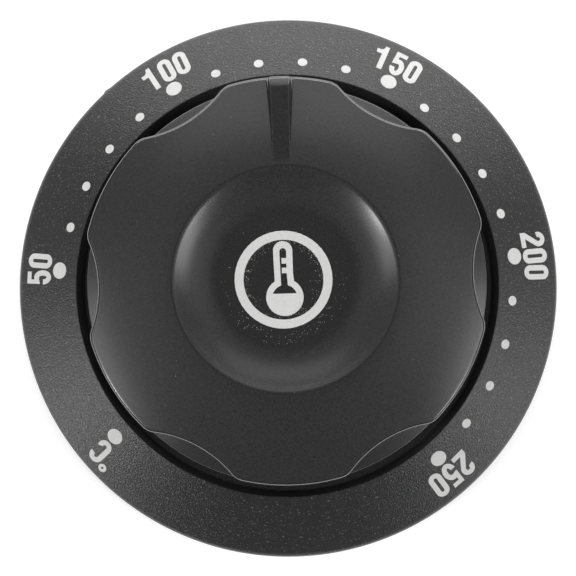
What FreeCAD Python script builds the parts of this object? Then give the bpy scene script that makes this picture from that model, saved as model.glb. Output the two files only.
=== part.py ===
import FreeCAD, Part
import math
import os

Vector = FreeCAD.Vector

# Oven control knob: a fixed scale bezel, a six-lobed knob that turns in it, and the knob's shaft spring.
# Millimetres. The origin is on the turning axis in the plane of the oven's panel, +Z points to the user
# and +Y to the top of the scale. All angles are in degrees, counter-clockwise seen from the front.

# Knob: overall form
skirt_diameter = 50.3
skirt_height = 12.0
skirt_slope = 28.0
skirt_edge_bevel = 0.1
knob_height = 23.8
crown_drop = 3.0
crown_start_slope = 6.0
knob_edge_bevel = 0.45
pointer_rest_turn = 5.625

# Knob: lobed grip above the skirt
lobe_count = 6
lobe_inset = 0.1
scallop_depth = 2.1
scallop_radius = 14.4
lobe_corner_round = 2.4

# Knob: dish in the middle of the face
dish_diameter = 27.8
dish_floor_diameter = 17.0
dish_depth = 2.2
dish_rim_land = 0.5

# Knob: raised pointer rib
pointer_outer_width = 2.35
pointer_inner_width = 2.0
pointer_draft = 10.0
pointer_below_rim = 0.1
pointer_end_inset = 0.12
pointer_end_run = 1.15
pointer_end_drop = 2.1
pointer_edge_bevel = 0.2

# Knob: underside
knob_wall = 2.2
core_corner_round = 0.6
rib_thickness = 1.6
rib_above_shoulder = 0.8
skirt_floor_gap = 0.6
journal_diameter = 12.0
journal_panel_gap = 0.6

# Shaft socket: round bore with a flat, for a 6 mm shaft that is 4.6 mm across its flat
socket_diameter = 6.1
socket_across_flat = 4.65
socket_depth = 15.0
spring_width = 4.0
spring_thickness = 0.4
spring_foot = 1.2
spring_bow_length = 8.0
spring_proud = 0.2
spring_side_gap = 0.1
spring_bow_travel = 0.7

# Bezel
knob_gap = 1.85
scale_face_width = 8.0
scale_face_slope = 31.5
bezel_rim_height = 2.0
bezel_edge_bevel = 0.7
bezel_crest_bevel = 0.5
bezel_wall = 1.8
bezel_floor = 2.0
collar_height = 7.0
collar_wall = 2.1
collar_edge_bevel = 0.3
journal_gap = 0.2
shoulder_gap = 0.2
screw_spacing = 28.0
screw_hole_diameter = 4.3
gate_direction = 136.3
gate_radius = 0.6
gate_proud = 0.12

# Places that follow from the sizes above
skirt_radius = skirt_diameter / 2
lobe_radius = skirt_radius - lobe_inset
scallop_floor_radius = lobe_radius - scallop_depth
rim_radius = dish_diameter / 2
rim_inner_radius = rim_radius - dish_rim_land / 2
rim_outer_radius = rim_radius + dish_rim_land / 2
dish_floor_radius = dish_floor_diameter / 2
dish_floor_height = knob_height - dish_depth
crown_edge_height = knob_height - crown_drop
skirt_rise = math.tan(math.radians(skirt_slope))
well_radius = skirt_radius + knob_gap
bezel_radius = well_radius + scale_face_width
face_rise = math.tan(math.radians(scale_face_slope))
crest_height = bezel_rim_height + scale_face_width * face_rise
journal_radius = journal_diameter / 2
collar_bore_radius = journal_radius + journal_gap
collar_radius = collar_bore_radius + collar_wall
shoulder_height = collar_height + shoulder_gap
rib_height = shoulder_height + rib_above_shoulder
skirt_bottom = bezel_floor + skirt_floor_gap
lobe_pitch = 360.0 / lobe_count
socket_flat = socket_across_flat - socket_diameter / 2
socket_top = journal_panel_gap + socket_depth
spring_length = spring_bow_length + 2 * spring_foot
pocket_back = socket_flat - spring_proud + spring_bow_travel + spring_thickness

# How far a solid runs past the one it is joined to or cut from, and how near counts as touching
inside = 1.0
touching = 0.001


def polar(radius, angle):
    """Point in the XY plane."""
    turn = math.radians(angle)
    return Vector(radius * math.cos(turn), radius * math.sin(turn), 0)


def side(radius, height):
    """Point in the half-plane through the axis along +X."""
    return Vector(radius, 0, height)


def line(start, end):
    return Part.LineSegment(start, end).toShape()


def arc(start, middle, end):
    return Part.Arc(start, middle, end).toShape()


def revolved(edges):
    """Solid of revolution about the turning axis from a closed outline in the XZ half-plane."""
    face = Part.Face(Part.Wire(edges))
    return face.revolve(Vector(0, 0, 0), Vector(0, 0, 1), 360)


def bevelled_outline(corners):
    """Edges of a closed outline with straight sides: each corner is (radius, height, bevel)."""
    points = [side(radius, height) for radius, height, bevel in corners]
    turns = []
    for index, (radius, height, bevel) in enumerate(corners):
        here = points[index]
        before = (points[index - 1] - here).normalize()
        after = (points[(index + 1) % len(points)] - here).normalize()
        turns.append(here + before * bevel)
        if bevel > 0:
            turns.append(here + after * bevel)
    return [line(turns[index - 1], turns[index]) for index in range(len(turns))]


def lobed_face(outer_radius, depth, hollow_radius, corner_round):
    """Flat face with round lobes, hollow arcs between them and tangent arcs at the corners."""
    hollow_centre = outer_radius - depth + hollow_radius
    corner_centre = outer_radius - corner_round
    reach = hollow_radius + corner_round
    cosine = (corner_centre**2 + hollow_centre**2 - reach**2) / (2 * corner_centre * hollow_centre)
    corner_angle = math.degrees(math.acos(cosine))
    edges = []
    for index in range(lobe_count):
        lobe = index * lobe_pitch
        hollow = lobe + lobe_pitch / 2
        hollow_axis = polar(hollow_centre, hollow)
        hollow_ends = []
        corners = []
        for sign in (-1, 1):
            centre = polar(corner_centre, hollow + sign * corner_angle)
            outward = (centre - hollow_axis).normalize()
            on_hollow = hollow_axis + outward * hollow_radius
            on_lobe = polar(outer_radius, hollow + sign * corner_angle)
            bisector = ((on_hollow - centre) + (on_lobe - centre)).normalize()
            corners.append(arc(on_lobe, centre + bisector * corner_round, on_hollow))
            hollow_ends.append(on_hollow)
        hollow_middle = polar(outer_radius - depth, hollow)
        lobe_start = polar(outer_radius, lobe - lobe_pitch / 2 + corner_angle)
        lobe_end = polar(outer_radius, hollow - corner_angle)
        edges.append(arc(lobe_start, polar(outer_radius, lobe), lobe_end))
        edges.append(corners[0])
        edges.append(arc(hollow_ends[0], hollow_middle, hollow_ends[1]))
        edges.append(corners[1])
    return Part.Face(Part.Wire(Part.__sortEdges__(edges)))


def prism(face, bottom, top):
    """Straight prism on a face of the XY plane."""
    lifted = face.copy()
    lifted.translate(Vector(0, 0, bottom))
    return lifted.extrude(Vector(0, 0, top - bottom))


def post(radius, bottom, top):
    return Part.makeCylinder(radius, top - bottom, Vector(0, 0, bottom))


# The crown is an arc from the dish rim to the edge of the lobes, with the chosen slope at the rim
chord_slope = math.degrees(math.atan2(crown_drop, lobe_radius - rim_outer_radius))
crown_end_slope = 2 * chord_slope - crown_start_slope
sine_start = math.sin(math.radians(crown_start_slope))
sine_end = math.sin(math.radians(crown_end_slope))
crown_radius = (lobe_radius - rim_outer_radius) / (sine_end - sine_start)
crown_centre_radius = rim_outer_radius - crown_radius * sine_start
crown_centre_height = knob_height - crown_radius * math.cos(math.radians(crown_start_slope))


def crown_height(radius, depth=0.0):
    """Height of the crown arc at a radius, or of the parallel arc a given depth under it."""
    across = radius - crown_centre_radius
    return crown_centre_height + math.sqrt((crown_radius - depth) ** 2 - across**2)


def knob_outside():
    """Skirt and lobed head with its crowned face, dish and edge bevels, still solid inside."""
    cove_run = rim_inner_radius - dish_floor_radius
    cove_radius = (cove_run**2 + dish_depth**2) / (2 * dish_depth)
    half_turn = math.asin(cove_run / cove_radius) / 2
    cove_middle = side(
        dish_floor_radius + cove_radius * math.sin(half_turn),
        dish_floor_height + cove_radius * (1 - math.cos(half_turn)),
    )
    past_edge = lobe_radius + inside
    crown_middle_radius = (rim_outer_radius + past_edge) / 2
    head_bottom = skirt_height - inside
    rim_inner = side(rim_inner_radius, knob_height)
    rim_outer = side(rim_outer_radius, knob_height)
    dish_floor_end = side(dish_floor_radius, dish_floor_height)
    crown_end = side(past_edge, crown_height(past_edge))
    crown_middle = side(crown_middle_radius, crown_height(crown_middle_radius))
    crowned = revolved([
        line(side(0, head_bottom), side(0, dish_floor_height)),
        line(side(0, dish_floor_height), dish_floor_end),
        arc(dish_floor_end, cove_middle, rim_inner),
        line(rim_inner, rim_outer),
        arc(rim_outer, crown_middle, crown_end),
        line(crown_end, side(past_edge, head_bottom)),
        line(side(past_edge, head_bottom), side(0, head_bottom)),
    ])
    lobes = lobed_face(lobe_radius, scallop_depth, scallop_radius, lobe_corner_round)
    head = crowned.common(prism(lobes, head_bottom, knob_height + inside))
    head = head.makeChamfer(knob_edge_bevel, crown_outline_edges(head))
    skirt_top_radius = scallop_floor_radius - inside
    skirt_top = skirt_height + (skirt_radius - skirt_top_radius) * skirt_rise
    skirt = revolved(bevelled_outline([
        (0, skirt_bottom, 0),
        (skirt_radius, skirt_bottom, 0),
        (skirt_radius, skirt_height, skirt_edge_bevel),
        (skirt_top_radius, skirt_top, 0),
        (0, skirt_top, 0),
    ]))
    return head.fuse(skirt)


def crown_outline_edges(head):
    """Edges in which the lobed wall cuts the crown."""
    found = []
    for edge in head.Edges:
        points = edge.discretize(5)
        radii = [math.hypot(point.x, point.y) for point in points]
        on_wall = min(radii) > scallop_floor_radius - knob_edge_bevel
        offsets = [abs(point.z - crown_height(radius)) for point, radius in zip(points, radii)]
        if on_wall and max(offsets) < touching:
            found.append(edge)
    return found


def pointer_rib():
    """Drafted rib along +X with a level top, which rises out of the crown and slopes down at its end."""
    top = knob_height - pointer_below_rim
    bottom = crown_edge_height - inside
    start = rim_radius + inside
    end = lobe_radius - pointer_end_inset
    spread = math.tan(math.radians(pointer_draft)) * (top - bottom)

    def section(radius, width):
        half_top = width / 2
        half_bottom = half_top + spread
        return Part.makePolygon([
            Vector(radius, -half_top, top),
            Vector(radius, half_top, top),
            Vector(radius, half_bottom, bottom),
            Vector(radius, -half_bottom, bottom),
            Vector(radius, -half_top, top),
        ])

    sections = [section(start, pointer_inner_width), section(end, pointer_outer_width)]
    bar = Part.makeLoft(sections, True, True)
    slope_start = end - pointer_end_run
    slope_end_height = top - pointer_end_drop
    half_width = pointer_outer_width / 2 + spread + inside
    past_end = end + pointer_end_run
    past_end_height = slope_end_height - pointer_end_drop
    above_slope = Part.Face(Part.makePolygon([
        Vector(slope_start, -half_width, top),
        Vector(past_end, -half_width, top),
        Vector(past_end, -half_width, past_end_height),
        Vector(slope_start, -half_width, top),
    ])).extrude(Vector(0, 2 * half_width, 0))
    rib = bar.cut(above_slope)
    rib = rib.common(post(end, bottom, top))
    soft_edges = []
    for edge in rib.Edges:
        heights = [vertex.Z for vertex in edge.Vertexes]
        radii = [math.hypot(vertex.X, vertex.Y) for vertex in edge.Vertexes]
        at_start = max(radii) < start + inside
        if min(heights) > bottom + inside / 2 and not at_start:
            soft_edges.append(edge)
    return rib.makeChamfer(pointer_edge_bevel, soft_edges)


def knob_core():
    """Hollow of the underside: round in the skirt, lobed above it, with the hub and ribs left standing."""
    lower_radius = skirt_radius - knob_wall
    upper_radius = scallop_floor_radius - knob_wall
    crest_radius = lobe_radius - knob_wall
    roof_drop = knob_wall / math.cos(math.radians(skirt_slope))
    lower_top = skirt_height + knob_wall * skirt_rise - roof_drop
    upper_bottom = lower_top + (lower_radius - upper_radius) * skirt_rise
    core_bottom = skirt_bottom - inside
    ceiling = min(dish_floor_height - knob_wall, crown_height(crest_radius, knob_wall))
    skirt_core = revolved(bevelled_outline([
        (0, core_bottom, 0),
        (lower_radius, core_bottom, 0),
        (lower_radius, lower_top, 0),
        (upper_radius, upper_bottom, 0),
        (0, upper_bottom, 0),
    ]))
    hollow_radius = scallop_radius + knob_wall
    lobed = lobed_face(crest_radius, scallop_depth, hollow_radius, core_corner_round)
    core = skirt_core.fuse(prism(lobed, lower_top - inside, ceiling))
    core = core.cut(post(collar_radius, shoulder_height, knob_height))
    for index in range(lobe_count):
        rib = Part.makeBox(
            skirt_radius,
            rib_thickness,
            knob_height - rib_height,
            Vector(0, -rib_thickness / 2, rib_height),
        )
        rib.rotate(Vector(0, 0, 0), Vector(0, 0, 1), index * lobe_pitch)
        core = core.cut(rib)
    return core.cut(post(journal_radius, core_bottom - inside, shoulder_height + inside))


def shaft_socket():
    """Bore with a flat towards the pointer, and the spring's pocket behind the flat, open to the panel."""
    bottom = journal_panel_gap - inside
    bore = post(socket_diameter / 2, bottom, socket_top)
    below_flat = Part.makeBox(
        socket_flat + socket_diameter,
        2 * socket_diameter,
        socket_top - bottom + inside,
        Vector(-socket_diameter, -socket_diameter, bottom),
    )
    pocket_width = spring_width + 2 * spring_side_gap
    pocket = Part.makeBox(
        pocket_back,
        pocket_width,
        journal_panel_gap + spring_length + 2 * spring_foot - bottom,
        Vector(0, -pocket_width / 2, bottom),
    )
    return bore.common(below_flat).fuse(pocket)


def turned_to_rest(shape):
    """The knob is drawn with its pointer along +X and set where the scale reads 125."""
    shape.rotate(Vector(0, 0, 0), Vector(0, 0, 1), 90 + pointer_rest_turn)
    return shape


def knob_grip():
    body = knob_outside().fuse(pointer_rib())
    body = body.cut(knob_core())
    journal = post(journal_radius, journal_panel_gap, shoulder_height + inside)
    body = body.fuse(journal).cut(shaft_socket()).removeSplitter()
    return turned_to_rest(body)


def shaft_spring():
    """Leaf with two flat feet on the pocket's back and a bow between them that stands into the socket."""
    foot_start = journal_panel_gap + spring_foot
    bow_start = foot_start + spring_foot
    bow_turn = 2 * math.atan(2 * spring_bow_travel / spring_bow_length)
    bend = spring_bow_length / 4 / math.sin(bow_turn)
    middle_height = bow_start + spring_bow_length / 2

    def face_line(offset):
        """Points along one face of the leaf, a given offset inward from the pocket's back."""
        foot = pocket_back - offset
        near = bend - offset
        far = bend + offset
        centre = pocket_back - bend
        crest_centre = pocket_back - spring_bow_travel + bend
        half = bow_turn / 2
        quarter = side(centre + near * math.cos(bow_turn), bow_start + near * math.sin(bow_turn))
        first = side(centre + near * math.cos(half), bow_start + near * math.sin(half))
        crest = side(crest_centre - far, middle_height)
        return [side(foot, foot_start), side(foot, bow_start), first, quarter, crest]

    def mirrored(point):
        return side(point.x, 2 * middle_height - point.z)

    def leaf_side(points):
        foot, bow, first, quarter, crest = points
        return [
            line(foot, bow),
            arc(bow, first, quarter),
            arc(quarter, crest, mirrored(quarter)),
            arc(mirrored(quarter), mirrored(first), mirrored(bow)),
            line(mirrored(bow), mirrored(foot)),
        ]

    back = face_line(0.0)
    front = face_line(spring_thickness)
    edges = leaf_side(back) + leaf_side(front)
    edges.append(line(back[0], front[0]))
    edges.append(line(mirrored(back[0]), mirrored(front[0])))
    face = Part.Face(Part.Wire(Part.__sortEdges__(edges)))
    leaf = face.extrude(Vector(0, spring_width, 0))
    leaf.translate(Vector(0, -spring_width / 2, 0))
    return turned_to_rest(leaf)


def scale_bezel():
    """Sloped scale face, well with a guide collar for the knob's journal, hollow rear and screw holes."""
    body = revolved(bevelled_outline([
        (bezel_radius, 0, 0),
        (bezel_radius, bezel_rim_height, bezel_edge_bevel),
        (well_radius, crest_height, bezel_crest_bevel),
        (well_radius, bezel_floor, 0),
        (collar_radius, bezel_floor, 0),
        (collar_radius, collar_height, 0),
        (collar_bore_radius, collar_height, collar_edge_bevel),
        (collar_bore_radius, 0, 0),
    ]))
    wall_drop = bezel_wall / math.cos(math.radians(scale_face_slope))
    channel_inner = well_radius + bezel_wall
    channel_outer = bezel_radius - bezel_wall
    inner_height = crest_height - bezel_wall * face_rise - wall_drop
    outer_height = bezel_rim_height + bezel_wall * face_rise - wall_drop
    channel = revolved(bevelled_outline([
        (channel_inner, -inside, 0),
        (channel_outer, -inside, 0),
        (channel_outer, outer_height, 0),
        (channel_inner, inner_height, 0),
    ]))
    body = body.cut(channel)
    for sign in (-1, 1):
        hole = post(screw_hole_diameter / 2, -inside, bezel_floor + inside)
        hole.translate(Vector(sign * screw_spacing / 2, 0, 0))
        body = body.cut(hole)
    gate = post(gate_radius, 0, bezel_rim_height - bezel_edge_bevel)
    gate.translate(polar(bezel_radius + gate_proud - gate_radius, gate_direction))
    return body.fuse(gate).removeSplitter()


os.makedirs("parts", exist_ok=True)
pieces = {
    "scale_bezel": scale_bezel(),
    "knob_grip": knob_grip(),
    "shaft_spring": shaft_spring(),
}
for name, shape in pieces.items():
    solids = shape.Solids
    print(name, shape.isValid(), len(solids), "solid", round(shape.Volume, 1), "mm3", shape.BoundBox)
    solids[0].exportStep("parts/" + name + ".step")
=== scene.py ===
import bmesh
import bpy
import math
import numpy as np
from mathutils import Matrix, Vector


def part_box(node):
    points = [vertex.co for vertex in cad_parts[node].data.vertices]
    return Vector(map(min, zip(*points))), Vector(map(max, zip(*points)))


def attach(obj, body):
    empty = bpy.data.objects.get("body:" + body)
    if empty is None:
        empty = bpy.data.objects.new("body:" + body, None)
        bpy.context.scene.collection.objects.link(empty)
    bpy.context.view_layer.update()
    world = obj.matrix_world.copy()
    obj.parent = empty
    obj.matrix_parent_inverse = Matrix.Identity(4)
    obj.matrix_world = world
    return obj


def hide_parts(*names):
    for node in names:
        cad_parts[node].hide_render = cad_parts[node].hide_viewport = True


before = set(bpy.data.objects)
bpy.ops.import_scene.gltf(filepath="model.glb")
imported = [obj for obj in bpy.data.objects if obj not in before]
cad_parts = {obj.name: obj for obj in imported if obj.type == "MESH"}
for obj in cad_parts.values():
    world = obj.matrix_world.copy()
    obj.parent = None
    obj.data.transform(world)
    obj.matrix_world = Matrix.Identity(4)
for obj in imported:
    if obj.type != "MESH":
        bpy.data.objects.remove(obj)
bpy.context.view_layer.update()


# Scale bezel: the fixed ring round the knob. One injection moulding in black plastic with a matt,
# spark-eroded face; it lies on the oven's panel, and two screws in its well hold it there.

mm = 0.001
bezel_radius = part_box("scale_bezel")[1].x
collar_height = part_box("scale_bezel")[1].z
face_width = 8.0 * mm
face_slope = math.radians(31.5)
face_foot = 2.0 * mm
face_edge_round = 1.1 * mm
crest_round = 0.12 * mm
well_radius = bezel_radius - face_width
well_floor = 2.0 * mm
well_draft = 0.5 * mm
bezel_wall = 1.8 * mm
collar_radius = 8.3 * mm
collar_bore = 6.2 * mm
inner_round = 0.3 * mm
small_round = 0.06 * mm
screw_spacing = 28.0 * mm
screw_hole = 2.15 * mm
gate_angle = math.radians(136.3)
gate_length = 1.3 * mm
gate_proud = 0.14 * mm
bezel_black = (0.0095, 0.0095, 0.0097, 1.0)
bezel_grey = (0.013, 0.013, 0.013, 1.0)
# pale grey of the dust specks on the face, and of the painted glare that lifts the dark well
dust_and_glare_grey = (0.3, 0.3, 0.3, 1.0)
pit_size = 0.24 * mm
fine_pit_size = 0.11 * mm
pit_depth = 0.1 * mm
blotch_size = 2.2 * mm
dust_size = 0.22 * mm
# width of the soft edge of the painted glare at the well's rim
well_glare_edge = 0.1 * mm


def rounded_outline(corners, arc_steps=9):
    """Closed outline through corners of (radius, height, round): each corner becomes an arc of its round,
    tangent to both sides, so it starts and ends at the round divided by the tangent of half the corner's
    angle. The arc's centre is on the bisector, and its points swing evenly from one side to the other.
    Points at fixed shares of the straight sides keep the shading of a flat side flat."""
    corners = np.asarray(corners, float)
    point = corners[:, :2]
    size = corners[:, 2:]
    before = np.roll(point, 1, axis=0) - point
    after = np.roll(point, -1, axis=0) - point
    before /= np.linalg.norm(before, axis=1, keepdims=True)
    after /= np.linalg.norm(after, axis=1, keepdims=True)
    half = np.arccos((before * after).sum(axis=1, keepdims=True)) / 2
    bisector = (before + after) / (2 * np.cos(half))
    start = point + before * size / np.tan(half)
    end = point + after * size / np.tan(half)
    centre = point + bisector * size / np.sin(half)
    swing = (np.pi - 2 * half)[:, None]
    share = np.linspace(0, 1, arc_steps)[None, :, None]
    spread = np.sin((1 - share) * swing) * (start - centre)[:, None]
    spread = spread + np.sin(share * swing) * (end - centre)[:, None]
    arcs = centre[:, None] + spread / np.sin(swing)
    side_share = np.array([0.03, 0.2, 0.5, 0.8, 0.97])[None, :, None]
    sides = end[:, None] + (np.roll(start, -1, axis=0) - end)[:, None] * side_share
    return np.concatenate([arcs, sides], axis=1).reshape(-1, 2)


def spun(radius, height, angle):
    """Grid of points at a radius and a height (rows) for each angle about the turning axis (columns)."""
    radius, height, angle = np.broadcast_arrays(radius, height, angle)
    return np.stack([radius * np.cos(angle), radius * np.sin(angle), height], axis=-1)


def shell(name, *grids):
    """Closed piece from grids of points. Quads join each point to its neighbours in the next row and column.
    Columns always run right round; rows do too where a grid's first and last rows are the same points.
    Equal points are merged, which closes seams and poles, and the faces are turned outwards."""
    points = []
    quads = []
    count = 0
    for grid in grids:
        rows, columns = grid.shape[:2]
        index = count + np.arange(rows * columns).reshape(rows, columns)
        beside = np.roll(index, -1, axis=1)
        quads.append(np.stack([index[:-1], beside[:-1], beside[1:], index[1:]], axis=-1).reshape(-1, 4))
        points.append(grid.reshape(-1, 3))
        count += rows * columns
    mesh = bpy.data.meshes.new(name)
    mesh.from_pydata(np.concatenate(points), [], np.concatenate(quads))
    work = bmesh.new()
    work.from_mesh(mesh)
    bmesh.ops.remove_doubles(work, verts=work.verts, dist=1e-4 * mm)
    bmesh.ops.recalc_face_normals(work, faces=work.faces)
    work.to_mesh(mesh)
    work.free()
    piece = bpy.data.objects.new(name, mesh)
    bpy.context.scene.collection.objects.link(piece)
    return piece


def combine(piece, tool, operation):
    """Joins a closed tool to a piece or cuts it from the piece. The tool is used up."""
    boolean = piece.modifiers.new(operation, "BOOLEAN")
    boolean.operation = operation
    boolean.solver = "MANIFOLD"
    boolean.object = tool
    graph = bpy.context.evaluated_depsgraph_get()
    solved = bpy.data.meshes.new_from_object(piece.evaluated_get(graph))
    piece.modifiers.clear()
    piece.data = solved
    bpy.data.objects.remove(tool)


def smooth(piece, crease=math.radians(32)):
    """Smooth shading, with an edge kept sharp where the faces turn by more than the crease angle."""
    piece.data.shade_smooth()
    piece.data.set_sharp_from_angle(angle=crease)


class Wire:
    """A shader socket to reckon with: +, - and * between wires and numbers add Math nodes."""

    def __init__(self, tree, socket=None):
        self.tree = tree
        self.socket = socket

    def node(self, kind, settings, sockets, output=0):
        """New node of a kind. Its settings are set first, then its sockets from values or wires."""
        made = self.tree.nodes.new(kind)
        for name, value in settings.items():
            setattr(made, name, value)
        for name, value in sockets.items():
            if isinstance(value, Wire):
                self.tree.links.new(value.socket, made.inputs[name])
            else:
                made.inputs[name].default_value = value
        return Wire(self.tree, made.outputs[output] if made.outputs else None)

    def reckon(self, operation, first, second):
        return self.node("ShaderNodeMath", {"operation": operation}, {0: first, 1: second})

    def __add__(self, other):
        return self.reckon("ADD", self, other)

    def __sub__(self, other):
        return self.reckon("SUBTRACT", self, other)

    def __rsub__(self, other):
        return self.reckon("SUBTRACT", other, self)

    def __mul__(self, other):
        return self.reckon("MULTIPLY", self, other)

    __radd__ = __add__
    __rmul__ = __mul__


def finish_of(name):
    """Empty node material and the wire that its nodes start from."""
    made = bpy.data.materials.new(name)
    made.use_nodes = True
    made.node_tree.nodes.clear()
    return made, Wire(made.node_tree)


def noise(place, size, detail=2.0, roughness=0.5):
    """Soft random values from 0 to 1 whose blotches are about a given size across."""
    sockets = {"Vector": place, "Scale": 1 / size, "Detail": detail, "Roughness": roughness}
    return place.node("ShaderNodeTexNoise", {}, sockets, "Fac")


def between(value, low, high):
    """0 up to low, 1 from high on and a straight run between them. Where low is the larger, it runs backwards."""
    sockets = {"Value": value, "From Min": low, "From Max": high}
    return value.node("ShaderNodeMapRange", {"clamp": True}, sockets)


def mixed(share, first, second):
    """Colour that goes from the first to the second as the share goes from 0 to 1."""
    return share.node("ShaderNodeMix", {"data_type": "RGBA"}, {0: share, 6: first, 7: second}, 2)


def from_axis(place):
    """Distance of a place from the turning axis."""
    level = place.node("ShaderNodeVectorMath", {"operation": "MULTIPLY"}, {0: place, 1: (1.0, 1.0, 0.0)})
    return place.node("ShaderNodeVectorMath", {"operation": "LENGTH"}, {0: level}, "Value")


def matt_black():
    """Spark-eroded black plastic: fine pits in the face, blotches of more and less gloss, and pale dust specks on
    the face. The well is painted paler than the face: painted glare that lifts the shaded gap under the knob."""
    made, start = finish_of("bezel_plastic")
    place = start.node("ShaderNodeTexCoord", {}, {}, "Object")
    pits = noise(place, pit_size, 2.0, 0.6)
    fine = noise(place, fine_pit_size)
    blotch = noise(place, blotch_size)
    specks = between(noise(place, dust_size, 0.0), 0.68, 0.8)
    relief = pits * 0.7 + fine * 0.3
    bump = start.node("ShaderNodeBump", {}, {"Strength": 1.0, "Distance": pit_depth, "Height": relief})
    # painted glare: inside the well's radius the base colour turns paler, as if light lifted the shaded gap under
    # the knob
    well_glare = between(from_axis(place), well_radius + well_glare_edge, well_radius - well_glare_edge)
    worn = mixed(blotch, bezel_black, bezel_grey)
    sockets = {
        # real dust specks on the face, and the painted glare in the well
        "Base Color": mixed(well_glare * 0.2 + specks * 0.25, worn, dust_and_glare_grey),
        "Roughness": 0.26 + blotch * 0.08 + fine * 0.08,
        "IOR": 1.5,
        "Specular IOR Level": 0.4,
        "Normal": bump,
    }
    surface = start.node("ShaderNodeBsdfPrincipled", {}, sockets)
    start.node("ShaderNodeOutputMaterial", {}, {"Surface": surface})
    return made


def build_bezel():
    """The section's rounded outline carried round the axis. The gate mark, where the plastic was broken off
    its feed, is a low bump on the outer wall: steep at one end, running out at the other."""
    rise = math.tan(face_slope)
    crest = face_foot + face_width * rise
    wall_drop = bezel_wall / math.cos(face_slope)
    section = rounded_outline([
        (bezel_radius, 0, small_round),
        (bezel_radius, face_foot, face_edge_round),
        (well_radius, crest, crest_round),
        (well_radius - well_draft, well_floor, inner_round),
        (collar_radius, well_floor, inner_round),
        (collar_radius, collar_height, small_round),
        (collar_bore, collar_height, inner_round),
        (collar_bore, 0, small_round),
        (well_radius + bezel_wall, 0, small_round),
        (well_radius + bezel_wall, crest - bezel_wall * rise - wall_drop, inner_round),
        (bezel_radius - bezel_wall, face_foot + bezel_wall * rise - wall_drop, inner_round),
        (bezel_radius - bezel_wall, 0, small_round),
    ])
    section = np.concatenate([section, section[:1]])
    near_gate = gate_angle + np.linspace(-1, 1, 41) * gate_length / bezel_radius
    angle = np.union1d(np.linspace(0, 2 * np.pi, 481)[:-1], near_gate)
    along = (angle - gate_angle) * bezel_radius / gate_length
    bump = gate_proud * np.clip(np.minimum(4 * (0.5 - along), 1.2 * (along + 0.5)), 0, 1)
    on_wall = section[:, :1] > bezel_radius - 0.5 * gate_proud
    radius = section[:, :1] + on_wall * bump
    piece = shell("bezel_shell", spun(radius, section[:, 1:], angle))
    around = np.linspace(0, 2 * np.pi, 65)[:-1]
    for side in (-1, 1):
        depth = np.array([-1.0, -1.0, 2.0, 2.0])[:, None] * well_floor
        hole = spun(np.array([0.0, 1.0, 1.0, 0.0])[:, None] * screw_hole, depth, around)
        hole[..., 0] += side * screw_spacing / 2
        combine(piece, shell("screw_hole", hole), "DIFFERENCE")
    return piece


bezel = build_bezel()
smooth(bezel)
bezel.data.materials.clear()
bezel.data.materials.append(matt_black())
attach(bezel, "bezel")
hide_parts("scale_bezel")


# Scale print: dots every 10 degrees Celsius and numbers every 50, with an off dot under the unit's sign.
# White ink, put on the bezel's sloping face by a soft pad, so it stands a little proud.

scale_white = (0.61, 0.61, 0.605, 1.0)
thin_black = (0.0, 0.0, 0.0, 1.0)
pinhole_grey = (0.2, 0.2, 0.2, 1.0)
cover_size = 0.5 * mm
pinhole_size = 0.16 * mm
ink_relief_size = 0.2 * mm
ink_relief_depth = 0.008 * mm
ink_sink = 0.03 * mm
ink_proud = 0.02 * mm
scale_start = math.radians(-90.0)
scale_step = math.radians(11.25)
off_angle = math.radians(-135.0)
small_dot_radius = 0.62 * mm
small_dot_place = 28.94 * mm
big_dot_radius = 1.06 * mm
big_dot_place = 29.42 * mm
figure_place = 32.2 * mm
figure_pitch = math.radians(3.8)
figure_stroke = 0.70 * mm
figure_height = 3.85 * mm
figure_width = 1.86 * mm
scale_shift = {50: 0.17, 100: 0.68, 150: 0.1, 200: 0.37, 250: 0.06}
unit_shift = math.radians(0.3)
degree_shift = math.radians(3.2)
degree_place = 33.55 * mm
degree_radius = 0.58 * mm
degree_hole = 0.17 * mm


def bow(across, up, wide, tall, first, last, steps=14):
    """Points of an ellipse about (across, up) with the given half-axes, from one angle in degrees to another."""
    turn = np.radians(np.linspace(first, last, steps))
    return np.stack([across + wide * np.cos(turn), up + tall * np.sin(turn)], axis=-1)


def figure_zero():
    """Upright ring with straight sides: half circles at both ends, the inner edge one stroke inside."""
    outer = figure_width / 2
    inner = outer - figure_stroke
    middle = figure_height / 2 - outer
    edges = []
    for half in (outer, inner):
        ends = [bow(0, middle, half, half, 0, 180), bow(0, -middle, half, half, 180, 360)]
        edges.append(np.concatenate(ends + [ends[0][:1]]))
    return edges


def figure_one():
    """Upright stroke with a level flag near its top; the flag's upper edge sweeps up to the stroke's head."""
    half = figure_stroke / 2
    foot = -figure_height / 2
    head = figure_height / 2
    flag_low = foot + 2.5 * mm
    flag_high = flag_low + 0.62 * mm
    flag_end = -half - 0.82 * mm
    sweep = bow(-0.75 * mm, head, 0.55 * mm, head - flag_high, -90, -10, 8)
    outer = np.concatenate([[(flag_end, flag_high)], sweep, [(-half * 0.5, head), (half, head), (half, foot)]])
    inner = np.full_like(outer, -half)
    inner[:, 1] = flag_low
    inner[0] = (flag_end + 0.08 * mm, flag_low)
    inner[-1] = (-half, foot)
    return [outer, inner]


def figure_two():
    """Round bowl with a hooked start, a straight spine down to the left and a level base."""
    outer = bow(0.05 * mm, 0.93 * mm, 0.95 * mm, 1.02 * mm, 197, -33, 26)
    inner = bow(0.05 * mm, 0.93 * mm, 0.26 * mm, 0.34 * mm, 197, -33, 26)
    top = -1.14 * mm
    foot = -1.84 * mm
    right = 0.92 * mm
    inner_corner = (-0.20 * mm, top)
    outer_end = [inner_corner, inner_corner, (right, top)]
    inner_end = [(-1.02 * mm, -1.05 * mm), (-1.06 * mm, foot), (right, foot)]
    return [np.concatenate([outer, outer_end]), np.concatenate([inner, inner_end])]


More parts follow.
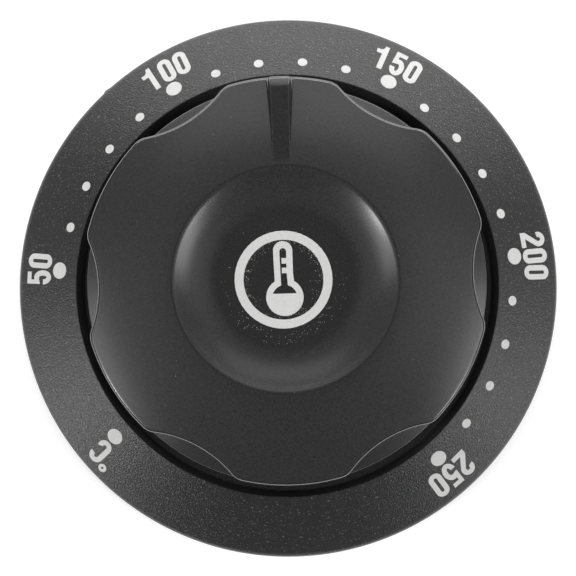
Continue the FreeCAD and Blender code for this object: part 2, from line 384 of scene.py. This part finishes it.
def figure_five():
    """Level bar, upright stem with a square foot, and a round bowl whose end hooks up on the left."""
    head = 1.92 * mm
    bar = 1.28 * mm
    bowl = bow(0, -0.55 * mm, 0.93 * mm, 1.38 * mm, 107, -176, 30)
    counter = bow(0, -0.58 * mm, 0.24 * mm, 0.62 * mm, 107, -176, 30)
    notch = (-0.27 * mm, 0.72 * mm)
    left_start = [(0.76 * mm, head), (-0.80 * mm, head), (-0.85 * mm, -0.15 * mm), (-0.21 * mm, 0.03 * mm)]
    right_start = [(0.74 * mm, bar), (-0.26 * mm, bar), notch, notch]
    return [np.concatenate([left_start, counter]), np.concatenate([right_start, bowl])]


def figure_c():
    """Letter for the unit: two half rings joined by a straight spine, open to the right."""
    edges = []
    for wide, tall in ((0.98 * mm, 1.0 * mm), (0.28 * mm, 0.3 * mm)):
        upper = bow(0.05 * mm, 0.93 * mm, wide, tall, -12, 180, 20)
        lower = bow(0.05 * mm, -0.93 * mm, wide, tall, 180, 388, 20)
        edges.append(np.concatenate([upper, lower]))
    return edges


def disc(radius, hole=0.0):
    """Edges of a round mark: a circle, and the circle of its hole or its centre."""
    return [bow(0, 0, radius, radius, 0, 360, 49), bow(0, 0, hole, hole, 0, 360, 49)]


def slab(edges, place, closed):
    """Thin solid between two edge lines. Each station of the lines gives a row of four points: both edges at
    the ink's underside and both at its top. The ends are closed by rows drawn together to a point."""
    left, right = edges
    low = -ink_sink
    corners = [place(left, low), place(left, ink_proud), place(right, ink_proud), place(right, low)]
    rows = np.stack(corners, axis=1)
    if closed:
        return rows
    ends = rows.mean(axis=1, keepdims=True).repeat(4, axis=1)
    return np.concatenate([ends[:1], rows, ends[-1:]])


def on_face(angle, radius):
    """Place on the sloping face: a flat figure is laid on the face's tangent plane at an angle clockwise from
    the scale's top and a radius, its own top outwards."""
    outward = np.array([math.sin(angle), math.cos(angle), 0.0])
    clockwise = np.array([math.cos(angle), -math.sin(angle), 0.0])
    upward = np.array([0.0, 0.0, 1.0])
    slant = outward * math.cos(face_slope) - upward * math.sin(face_slope)
    normal = outward * math.sin(face_slope) + upward * math.cos(face_slope)
    height = face_foot + (bezel_radius - radius) * math.tan(face_slope)
    centre = outward * radius + upward * height

    def place(flat, lift):
        return centre + flat[:, :1] * clockwise + flat[:, 1:] * slant + lift * normal

    return place


def scale_angle(reading):
    """Clockwise angle of a temperature on the scale."""
    return scale_start + (reading - 50) / 10 * scale_step


def scale_marks():
    """Slabs of all dots and figures of the scale."""
    figures = {"0": (figure_zero, True), "1": (figure_one, False), "2": (figure_two, False)}
    figures["5"] = (figure_five, False)
    marks = []
    for reading in range(50, 260, 10):
        big = reading % 50 == 0
        radius = big_dot_radius if big else small_dot_radius
        dot_place = big_dot_place if big else small_dot_place
        marks.append(slab(disc(radius), on_face(scale_angle(reading), dot_place), True))
        if not big:
            continue
        label = str(reading)
        for index, sign in enumerate(label):
            make, closed = figures[sign]
            shift = (index - (len(label) - 1) / 2) * figure_pitch + math.radians(scale_shift[reading])
            place = on_face(scale_angle(reading) + shift, figure_place)
            marks.append(slab(make(), place, closed))
    marks.append(slab(disc(big_dot_radius), on_face(off_angle, big_dot_place), True))
    marks.append(slab(figure_c(), on_face(off_angle - unit_shift, figure_place), False))
    marks.append(slab(disc(degree_radius, degree_hole), on_face(off_angle - degree_shift, degree_place), True))
    return marks


def white_ink(name, white):
    """Matt white print: cover that varies a little, with thin spots where the grain shows through."""
    made, start = finish_of(name)
    place = start.node("ShaderNodeTexCoord", {}, {}, "Object")
    cover = noise(place, cover_size)
    pinhole = between(noise(place, pinhole_size, 0.0), 0.76, 0.82)
    thin = mixed(cover * 0.15, white, thin_black)
    relief = noise(place, ink_relief_size)
    bump = start.node("ShaderNodeBump", {}, {"Strength": 0.5, "Distance": ink_relief_depth, "Height": relief})
    sockets = {
        "Base Color": mixed(pinhole * 0.2, thin, pinhole_grey),
        "Roughness": 0.55 + cover * 0.15,
        "Normal": bump,
    }
    surface = start.node("ShaderNodeBsdfPrincipled", {}, sockets)
    start.node("ShaderNodeOutputMaterial", {}, {"Surface": surface})
    return made


scale_print = shell("scale_print", *scale_marks())
scale_print.data.materials.append(white_ink("white_ink", scale_white))
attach(scale_print, "bezel")


# Knob grip: the part that is turned. One injection moulding in satin black plastic: a round skirt, six
# lobes with hollows for the fingers, a crowned face with a dish, and a raised rib as the pointer.

knob_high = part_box("knob_grip")[1]
skirt_radius = knob_high.x
knob_height = knob_high.z
skirt_height = 12.0 * mm
skirt_slope = math.radians(28.0)
skirt_edge_round = 0.18 * mm
skirt_bottom = 2.6 * mm
lobe_count = 6
lobe_radius = skirt_radius - 0.1 * mm
hollow_depth = 2.1 * mm
hollow_radius = 14.4 * mm
lobe_corner = 2.4 * mm
least_corner = 0.3 * mm
crown_drop = 3.0 * mm
crown_start_slope = math.radians(6.0)
knob_edge_round = 0.68 * mm
rim_radius = 14.0 * mm
rim_round = 1.0 * mm
dish_floor_radius = 8.0 * mm
dish_depth = 2.0 * mm
knob_wall = 2.2 * mm
ceiling = 19.36 * mm
pointer_reading = 125
pointer_angle = math.pi / 2 - scale_angle(pointer_reading)
pointer_start = 14.2 * mm
pointer_end = lobe_radius - 0.24 * mm
pointer_top = knob_height - 0.05 * mm
pointer_base = 19.9 * mm
pointer_inner_width = 2.2 * mm
pointer_outer_width = 2.3 * mm
pointer_draft = math.radians(11.0)
pointer_edge_round = 0.16 * mm
pointer_end_run = 1.15 * mm
pointer_end_drop = 0.75 * mm
pointer_end_round = 0.35 * mm
knob_black = (0.0035, 0.0035, 0.0036, 1.0)
knob_grey = (0.02, 0.02, 0.0204, 1.0)
speck_grey = (0.5, 0.5, 0.5, 1.0)
gloss_start = rim_radius + 3.0 * mm
gloss_full = rim_radius + 5.0 * mm
gloss_size = 6.0 * mm
grain_size = 0.2 * mm
grain_depth = 0.008 * mm
speck_cell = 0.5 * mm


def lobed(turn, inset):
    """Radius of the lobed outline at angles from a lobe's middle, or of the line a given inset inside it.
    Seen from a hollow's middle, the outline is first the near side of the hollow's circle, then the far side
    of the corner's circle, which touches both, and then the lobe's own circle about the axis."""
    outer = lobe_radius - inset
    deep = hollow_radius + inset
    corner = max(lobe_corner - inset, least_corner)
    pitch = 2 * np.pi / lobe_count
    away = np.abs((turn % pitch) - pitch / 2)
    hollow_centre = outer - hollow_depth + deep
    corner_centre = outer - corner
    reach = deep + corner
    cosine = (corner_centre**2 + hollow_centre**2 - reach**2) / (2 * corner_centre * hollow_centre)
    corner_turn = math.acos(cosine)
    touch = np.array([hollow_centre, 0.0])
    middle = corner_centre * np.array([math.cos(corner_turn), math.sin(corner_turn)])
    touch = touch + (middle - touch) * deep / reach
    touch_turn = math.atan2(touch[1], touch[0])
    in_hollow = np.minimum(away, touch_turn)
    hollow = hollow_centre * np.cos(in_hollow) - np.sqrt(deep**2 - (hollow_centre * np.sin(in_hollow)) ** 2)
    off = np.clip(away, touch_turn, corner_turn) - corner_turn
    rounded = corner_centre * np.cos(off) + np.sqrt(corner**2 - (corner_centre * np.sin(off)) ** 2)
    return np.where(away < touch_turn, hollow, np.where(away < corner_turn, rounded, outer))


def knob_outside():
    """Outside of the knob as radius and height over (row, turn). Rows run from the middle of the dish to the
    foot of the skirt: flat floor, cove, rim, crown, edge, wall, ledge and skirt. The cove's circle touches the
    floor and the rim's circle, the rim's circle touches the crown's, and the edge's arc touches the wall."""
    turn = np.linspace(0, 2 * np.pi, 721)[:-1]
    outline = lobed(turn, 0.0)
    rows = []

    def add(radius, height):
        rows.append(np.stack(np.broadcast_arrays(radius, height, turn)[:2]))

    crown_top = knob_height - rim_round * (1 - math.cos(crown_start_slope))
    rim_centre = rim_radius - rim_round * math.sin(crown_start_slope)
    rim_level = knob_height - rim_round
    dish_floor = knob_height - dish_depth
    out = rim_centre - dish_floor_radius
    drop = dish_floor - rim_level
    cove = (out**2 + drop**2 - rim_round**2) / (2 * (rim_round - drop))
    cove_turn = math.asin(out / (cove + rim_round))
    add(np.array([0.0, 0.3, 0.6, 0.85, 0.97])[:, None] * dish_floor_radius, dish_floor)
    swing = np.linspace(0, cove_turn, 18)[:, None]
    add(dish_floor_radius + cove * np.sin(swing), dish_floor + cove * (1 - np.cos(swing)))
    swing = np.linspace(cove_turn, -crown_start_slope, 16)[1:, None]
    add(rim_centre - rim_round * np.sin(swing), rim_level + rim_round * np.cos(swing))

    chord = math.atan2(crown_drop, lobe_radius - rim_radius)
    end_slope = 2 * chord - crown_start_slope
    crown = (lobe_radius - rim_radius) / (math.sin(end_slope) - math.sin(crown_start_slope))
    crown_centre = rim_radius - crown * math.sin(crown_start_slope)
    crown_level = crown_top - crown * math.cos(crown_start_slope)
    slope = np.arcsin((outline - crown_centre) / crown)
    edge_height = crown_level + crown * np.cos(slope)
    crown_edge = outline - knob_edge_round * (1 - np.sin(slope))
    share = np.concatenate([[0.015], np.linspace(0.06, 0.94, 20), [0.985]])[:, None]
    radius = rim_radius + (crown_edge - rim_radius) * share
    add(radius, crown_level + np.sqrt(crown**2 - (radius - crown_centre) ** 2))
    wall_top = edge_height - knob_edge_round * np.tan((np.pi / 2 - slope) / 2)
    swing = np.linspace(1, 0, 10)[:, None] * (np.pi / 2 - slope)
    add(outline - knob_edge_round * (1 - np.cos(swing)), wall_top + knob_edge_round * np.sin(swing))

    rise = math.tan(skirt_slope)
    ledge_height = skirt_height + (skirt_radius - outline) * rise
    share = np.array([0.04, 0.25, 0.5, 0.75, 0.97, 1.0])[:, None]
    add(outline, wall_top + (ledge_height - wall_top) * share)
    half = (math.pi / 2 - skirt_slope) / 2
    ledge_end = skirt_radius - skirt_edge_round * math.tan(half) * math.cos(skirt_slope)
    share = np.array([0.05, 0.35, 0.7, 0.95])[:, None]
    radius = outline + (ledge_end - outline) * share
    add(radius, skirt_height + (skirt_radius - radius) * rise)
    swing = np.linspace(2 * half, 0, 7)[:, None]
    skirt_top = skirt_height - skirt_edge_round * math.tan(half)
    add(skirt_radius - skirt_edge_round * (1 - np.cos(swing)), skirt_top + skirt_edge_round * np.sin(swing))
    share = np.array([0.03, 0.3, 0.7, 0.97])[:, None]
    foot_round = skirt_edge_round
    add(skirt_radius, skirt_top + (skirt_bottom + foot_round - skirt_top) * share)
    swing = np.linspace(0, np.pi / 2, 6)[:, None]
    foot = skirt_radius - foot_round
    add(foot + foot_round * np.cos(swing), skirt_bottom + foot_round * (1 - np.sin(swing)))
    stub = skirt_radius - knob_wall * 0.65
    add(np.array([[1.0], [1.0], [0.0]]) * stub, np.array([[skirt_bottom], [-knob_wall], [-knob_wall]]))
    radius, height = np.concatenate(rows, axis=1)
    return shell("knob_shell", spun(radius, height, turn + pointer_angle))


def pointer_rib():
    """Rib along the pointer's line. A section with drafted sides and rounded top edges is carried outwards;
    its top is level and then bends into the end slope as the lower of two lines with a soft corner; at the
    end both top and sides turn in by a quarter round. Past the end the section sinks to the base."""
    soft = 0.1 * mm
    near_share = 0.06
    bend = pointer_end - pointer_end_run
    turned = pointer_end - pointer_end_round * (1 - np.sin(np.linspace(0, np.pi / 2, 12)))
    run = [np.linspace(pointer_start, bend - 1.2 * mm, 12), np.linspace(bend - mm, turned[0], 30)[:-1], turned]
    run = np.concatenate(run)
    fall = (run - bend) * pointer_end_drop / pointer_end_run
    into_end = np.clip((run - pointer_end) / pointer_end_round + 1, 0, 1)
    tuck = pointer_end_round * (1 - np.sqrt(1 - into_end**2))
    top = pointer_top - (fall + np.sqrt(fall**2 + soft**2)) / 2 - tuck
    width = np.interp(run, [pointer_start, pointer_end], [pointer_inner_width, pointer_outer_width])
    half = width / 2 - tuck + (pointer_top - top) * math.tan(pointer_draft)
    sink = np.linspace(0, 1, 8)[1:-1]
    last = top[-1] + (pointer_base + 2 * pointer_edge_round - top[-1]) * sink
    half = np.concatenate([half, half[-1] + (top[-1] - last) * math.tan(pointer_draft)])[:, None]
    run = np.concatenate([run, np.full(len(sink), pointer_end)])[:, None]
    top = np.concatenate([top, last])[:, None]
    corner = np.linspace(pointer_draft, np.pi / 2, 8)[None, :]
    shift = pointer_edge_round * (1 - math.sin(pointer_draft)) / math.cos(pointer_draft)
    side = half - shift + pointer_edge_round * np.cos(corner)
    up = top - pointer_edge_round * (1 - np.sin(corner))
    foot = half + (top - pointer_base) * math.tan(pointer_draft)
    level = np.full_like(foot, pointer_base)
    near_side = side[:, :1] + (foot - side[:, :1]) * near_share
    near_low = up[:, :1] + (level - up[:, :1]) * near_share
    near_top = side[:, -1:] * 0.9
    right_half = np.concatenate([foot, near_side, side, near_top], axis=1)
    half_height = np.concatenate([level, near_low, up, up[:, -1:]], axis=1)
    across = np.concatenate([right_half, -right_half[:, ::-1]], axis=1)
    height = np.concatenate([half_height, half_height[:, ::-1]], axis=1)
    away = np.broadcast_to(run, across.shape)
    cosine, sine = math.cos(pointer_angle), math.sin(pointer_angle)
    grid = np.stack([away * cosine - across * sine, away * sine + across * cosine, height], axis=-1)
    ends = grid.mean(axis=1, keepdims=True).repeat(grid.shape[1], axis=1)
    return shell("pointer_rib", np.concatenate([ends[:1], grid, ends[-1:]]))


def knob_hollow():
    """Everything that is empty inside the knob: a block that ends midway through the walls, from which the
    CAD solid is taken away. Its rows run from the ceiling's middle out and down through the open foot."""
    turn = np.linspace(0, 2 * np.pi, 361)[:-1]
    deep = knob_wall / 2
    wall = lobed(turn, deep)
    skirt = skirt_radius - deep
    ledge = skirt_height - deep / math.cos(skirt_slope) + (skirt_radius - wall) * math.tan(skirt_slope)
    ledge_foot = skirt_height - deep / math.cos(skirt_slope) + deep * math.tan(skirt_slope)
    roof = ceiling + deep / 2
    radius = np.stack([0 * wall, wall, wall, skirt + 0 * wall, skirt + 0 * wall, 0 * wall])
    below = -2 * knob_wall
    height = np.stack([roof + 0 * wall, roof + 0 * wall, ledge, ledge_foot + 0 * wall] + [below + 0 * wall] * 2)
    block = shell("knob_hollow", spun(radius, height, turn + pointer_angle))
    solid = bpy.data.objects.new("knob_solid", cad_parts["knob_grip"].data.copy())
    bpy.context.scene.collection.objects.link(solid)
    work = bmesh.new()
    work.from_mesh(solid.data)
    bmesh.ops.remove_doubles(work, verts=work.verts, dist=1e-3 * mm)
    work.to_mesh(solid.data)
    work.free()
    combine(block, solid, "DIFFERENCE")
    return block


def satin_black():
    """Satin black plastic: a fine even grain, faint flow of gloss, and a few pale specks. The outer edge and the
    steep walls, which slide along the mould as it opens, are glossier than the face and the dish."""
    made, start = finish_of("knob_plastic")
    place = start.node("ShaderNodeTexCoord", {}, {}, "Object")
    grain = noise(place, grain_size)
    facing = start.node("ShaderNodeTexCoord", {}, {}, "Normal")
    upright = start.node("ShaderNodeSeparateXYZ", {}, {0: facing}, "Z")
    drawn_wall = between(upright, 0.84, 0.72) * between(from_axis(place), gloss_start, gloss_full)
    gloss = noise(place, gloss_size)
    cells = {"Vector": place, "Scale": 1 / speck_cell}
    speck_away = start.node("ShaderNodeTexVoronoi", {}, cells, "Distance")
    speck_pick = start.node("ShaderNodeTexVoronoi", {}, cells, "Color")
    chosen = start.node("ShaderNodeSeparateColor", {}, {0: speck_pick}, 0)
    specks = between(speck_away, 0.16, 0.08) * between(chosen, 0.985, 0.99)
    black = mixed(between(grain, 0.3, 0.7), knob_black, knob_grey)
    bump = start.node("ShaderNodeBump", {}, {"Strength": 0.6, "Distance": grain_depth, "Height": grain})
    sockets = {
        "Base Color": mixed(specks * 0.3, black, speck_grey),
        "Roughness": (0.26 + gloss * 0.05 + grain * 0.05) * (1.0 - drawn_wall * 0.6),
        "IOR": 1.5,
        "Specular IOR Level": 0.65,
        "Normal": bump,
    }
    surface = start.node("ShaderNodeBsdfPrincipled", {}, sockets)
    start.node("ShaderNodeOutputMaterial", {}, {"Surface": surface})
    return made


knob = knob_outside()
combine(knob, pointer_rib(), "UNION")
combine(knob, knob_hollow(), "DIFFERENCE")
smooth(knob)
knob.data.materials.clear()
knob.data.materials.append(satin_black())
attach(knob, "knob")
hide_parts("knob_grip")


# Temperature sign: a thermometer in a ring, printed in the dish with the same white ink, laid on thicker.
# The pad set it down a little to the left of the middle.

sign_white = (0.73, 0.73, 0.725, 1.0)
sign_shift = np.array([-0.26, 0.03]) * mm
sign_ring_radius = 5.97 * mm
sign_ring_hole = 4.87 * mm


def sign_thermometer():
    """Outer edge and inner edge of the thermometer, matched point for point: right round the stem's head,
    down its right side, where the inner edge steps in for two ticks, round the bulb and up the left side."""
    stem = 1.18 * mm
    slot = 0.41 * mm
    head = 3.53 * mm
    bulb = 2.28 * mm
    bulb_level = -2.16 * mm
    bulb_shift = 0.1 * mm
    fill = 1.50 * mm
    fill_rise = 0.46 * mm
    ticks = ((2.63 * mm, 1.94 * mm), (1.45 * mm, 0.78 * mm))
    tick_end = -0.17 * mm
    outer = [bow(0, head, stem, stem, 180, 0, 20)]
    inner = [bow(0, head - 0.1 * mm, slot, slot, 180, 0, 20)]
    for high, low in ticks:
        outer.append([(stem, high), (stem, high), (stem, low), (stem, low)])
        inner.append([(slot, high), (tick_end, high), (tick_end, low), (slot, low)])
    neck_turn = math.degrees(math.acos(stem / bulb))
    slot_turn = math.degrees(math.acos(slot / fill))
    fill_turn = math.degrees(math.asin(fill_rise / fill))
    outer.append(bow(bulb_shift, bulb_level, bulb, bulb, neck_turn, fill_turn, 10))
    inner.append(bow(bulb_shift, bulb_level, fill, fill, slot_turn, fill_turn, 10))
    level_end = fill * math.cos(math.radians(fill_turn))
    fill_level = bulb_level + fill_rise
    outer.append(bow(bulb_shift, bulb_level, bulb, bulb, fill_turn, -180 - fill_turn, 40))
    inner.append(np.array([bulb_shift, 0.0]) + np.linspace((level_end, fill_level), (-level_end, fill_level), 40))
    outer.append(bow(bulb_shift, bulb_level, bulb, bulb, 180 - fill_turn, 180 - neck_turn, 10))
    inner.append(bow(bulb_shift, bulb_level, fill, fill, 180 - fill_turn, 180 - slot_turn, 10))
    edges = [np.concatenate(outer), np.concatenate(inner)]
    return [np.concatenate([edge, edge[:1]]) for edge in edges]


def in_dish(flat, lift):
    """Place on the dish's floor: the sign's own top points along the pointer."""
    along = np.array([math.cos(pointer_angle), math.sin(pointer_angle), 0.0])
    right = np.array([math.sin(pointer_angle), -math.cos(pointer_angle), 0.0])
    level = np.array([0.0, 0.0, knob_height - dish_depth + lift])
    flat = flat + sign_shift
    return flat[:, :1] * right + flat[:, 1:] * along + level


def ink_flecks():
    """Fine drops of ink beside the print: most lie close inside the ring, the others in a bow below it. Each is
    a small six-sided slab; its place and size are drawn at random from a fixed start."""
    draw = np.random.default_rng(5)
    near_count = 260
    below_count = 150
    near = sign_ring_hole - 0.05 * mm - np.abs(draw.normal(0.0, 0.45, near_count)) * mm
    below = draw.uniform(6.3, 7.9, below_count) * mm
    away = np.concatenate([near, below])
    near_turn = draw.uniform(0.0, 2 * np.pi, near_count)
    below_turn = draw.normal(-np.pi / 2, 0.9, below_count)
    turn = np.concatenate([near_turn, below_turn])
    size = draw.uniform(0.012, 0.036, near_count + below_count) * mm
    drops = np.stack([away * np.cos(turn), away * np.sin(turn), size], axis=-1)
    return [slab([bow(x, y, r, r, 0, 360, 7), bow(x, y, 0, 0, 0, 360, 7)], in_dish, True) for x, y, r in drops]


sign_ring = slab(disc(sign_ring_radius, sign_ring_hole), in_dish, True)
sign_print = shell("sign_print", sign_ring, slab(sign_thermometer(), in_dish, True), *ink_flecks())
sign_print.data.materials.append(white_ink("sign_ink", sign_white))
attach(sign_print, "knob")


# Shaft spring: a bowed leaf in the hub that takes up the play on the shaft's flat.
# Blanked from bright rolled spring steel and pushed into its pocket.

steel_grey = (0.56, 0.56, 0.57, 1.0)
tarnish_grey = (0.42, 0.40, 0.37, 1.0)
tarnish_size = 1.5 * mm
line_size = 0.08 * mm
line_depth = 0.003 * mm
line_squeeze = 0.03


def rolled_steel():
    """Bright strip: rolling lines along its length in the gloss and the relief, and a faint tarnish."""
    made, start = finish_of("spring_steel")
    place = start.node("ShaderNodeTexCoord", {}, {}, "Object")
    drawn = start.node("ShaderNodeMapping", {}, {"Vector": place, "Scale": (1.0, 1.0, line_squeeze)})
    lines = noise(drawn, line_size)
    tarnish = noise(place, tarnish_size)
    bump = start.node("ShaderNodeBump", {}, {"Strength": 0.4, "Distance": line_depth, "Height": lines})
    sockets = {
        "Base Color": mixed(tarnish * 0.4, steel_grey, tarnish_grey),
        "Metallic": 1.0,
        "Roughness": 0.2 + lines * 0.2,
        "Normal": bump,
    }
    surface = start.node("ShaderNodeBsdfPrincipled", {}, sockets)
    start.node("ShaderNodeOutputMaterial", {}, {"Surface": surface})
    return made


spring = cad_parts["shaft_spring"]
spring.data.materials.clear()
spring.data.materials.append(rolled_steel())


# Studio: a white floor that the bezel lies on, soft lamps and panels round the knob, a pale sky that is dark
# behind the camera and at the horizon, and the camera above. The bezel lies turned a little clockwise in the frame.

frame_turn = math.radians(3.85)
camera_place = Vector((5.01, -13.47, 311.4)) * mm
camera_aim = Vector((0.0, -0.04, 0.0)) * mm
camera_focal = 148.8
camera_sensor = 36.0
camera_near = 0.01
floor_radius = 80.0 * mm
floor_level = -0.05 * mm
floor_grey = (0.65, 0.65, 0.65, 1.0)
floor_seen_glow = 0.55
floor_mirrored_glow = 1.0
plain_white = (1.0, 1.0, 1.0, 1.0)
sky_low = 0.31
sky_rise = 0.24
camera_shade_depth = 0.84
lamps = [
    # clockwise angle in the frame and elevation in degrees, distance, width and height in metres, watts
    ("top_panel", 2.0, 45.0, 0.6, 0.6, 0.3, 0.56),
    ("top_card", 5.0, 10.0, 0.132, 0.3, 0.04, 0.245),
    ("right_lamp", 123.5, 15.5, 0.7, 0.2, 0.16, 1.25),
    ("right_panel", 106.0, 28.0, 0.7, 0.34, 0.34, 1.5),
    ("right_high", 90.0, 60.0, 0.6, 0.3, 0.3, 0.14),
    ("left_high", 260.0, 60.0, 0.6, 0.3, 0.3, 0.08),
    ("left_lamp", 239.5, 17.5, 0.7, 0.14, 0.14, 1.85),
    ("left_panel", 252.0, 28.0, 0.7, 0.38, 0.38, 1.2),
]


def aimed(place, aim, up):
    """Matrix of a lamp or camera that looks along its own -Z from a place to an aim, with a given up side."""
    back = (place - aim).normalized()
    right = up.cross(back).normalized()
    turn = Matrix((right, back.cross(right), back)).transposed()
    return Matrix.Translation(place) @ turn.to_4x4()


frame_up = Vector((-math.sin(frame_turn), math.cos(frame_turn), 0.0))
frame_right = Vector((math.cos(frame_turn), math.sin(frame_turn), 0.0))
knob_middle = Vector((0.0, 0.0, knob_height / 2))
for name, clock, elevation, distance, wide, tall, power in lamps:
    clock, elevation = math.radians(clock), math.radians(elevation)
    level = frame_up * math.cos(clock) + frame_right * math.sin(clock)
    place = (level * math.cos(elevation) + Vector((0, 0, math.sin(elevation)))) * distance
    lamp = bpy.data.lights.new(name, "AREA")
    lamp.shape = "RECTANGLE"
    lamp.size = wide
    lamp.size_y = tall
    lamp.energy = power
    holder = bpy.data.objects.new(name, lamp)
    holder.matrix_world = aimed(place, knob_middle, Vector((0, 0, 1)))
    bpy.context.scene.collection.objects.link(holder)

around = np.linspace(0, 2 * np.pi, 145)[:-1]
floor = shell("floor", spun(np.array([0.0, 1.0])[:, None] * floor_radius, floor_level, around))
floor_white, floor_start = finish_of("floor_white")
seen = floor_start.node("ShaderNodeLightPath", {}, {}, "Is Camera Ray")
mirrored = floor_start.node("ShaderNodeLightPath", {}, {}, "Is Glossy Ray")
paper = {"Base Color": floor_grey, "Roughness": 0.9, "Emission Color": plain_white}
glow_share = seen * floor_seen_glow + mirrored * floor_mirrored_glow
lit = floor_start.node("ShaderNodeBsdfPrincipled", {}, paper | {"Emission Strength": glow_share})
floor_start.node("ShaderNodeOutputMaterial", {}, {"Surface": lit})
floor.data.materials.append(floor_white)

world = bpy.data.worlds.new("studio")
world.use_nodes = True
world.node_tree.nodes.clear()
sky = Wire(world.node_tree)
sky_seen = sky.node("ShaderNodeLightPath", {}, {}, "Is Camera Ray")
sky_way = sky.node("ShaderNodeTexCoord", {}, {}, "Generated")
sky_height = sky.node("ShaderNodeSeparateXYZ", {}, {0: sky_way}, "Z")
sky_across = sky.node("ShaderNodeSeparateXYZ", {}, {0: sky_way}, "Y")
camera_shade = between(sky_height, 0.965, 0.99) * camera_shade_depth
horizon = between(sky_height, 0.0, 0.08)
sky_light = (sky_low + between(sky_across, -1.0, 1.0) * sky_rise) * (1.0 - camera_shade) * horizon
sky_strength = sky_light + sky_seen * (1.0 - sky_light)
glow = sky.node("ShaderNodeBackground", {}, {"Color": plain_white, "Strength": sky_strength})
sky.node("ShaderNodeOutputWorld", {}, {"Surface": glow})
bpy.context.scene.world = world

camera_data = bpy.data.cameras.new("camera")
camera_data.lens = camera_focal
camera_data.sensor_width = camera_sensor
camera_data.clip_start = camera_near
camera = bpy.data.objects.new("camera", camera_data)
camera.matrix_world = aimed(camera_place, camera_aim, frame_up)
bpy.context.scene.collection.objects.link(camera)
bpy.context.scene.camera = camera
bpy.context.scene.view_settings.view_transform = "Standard"
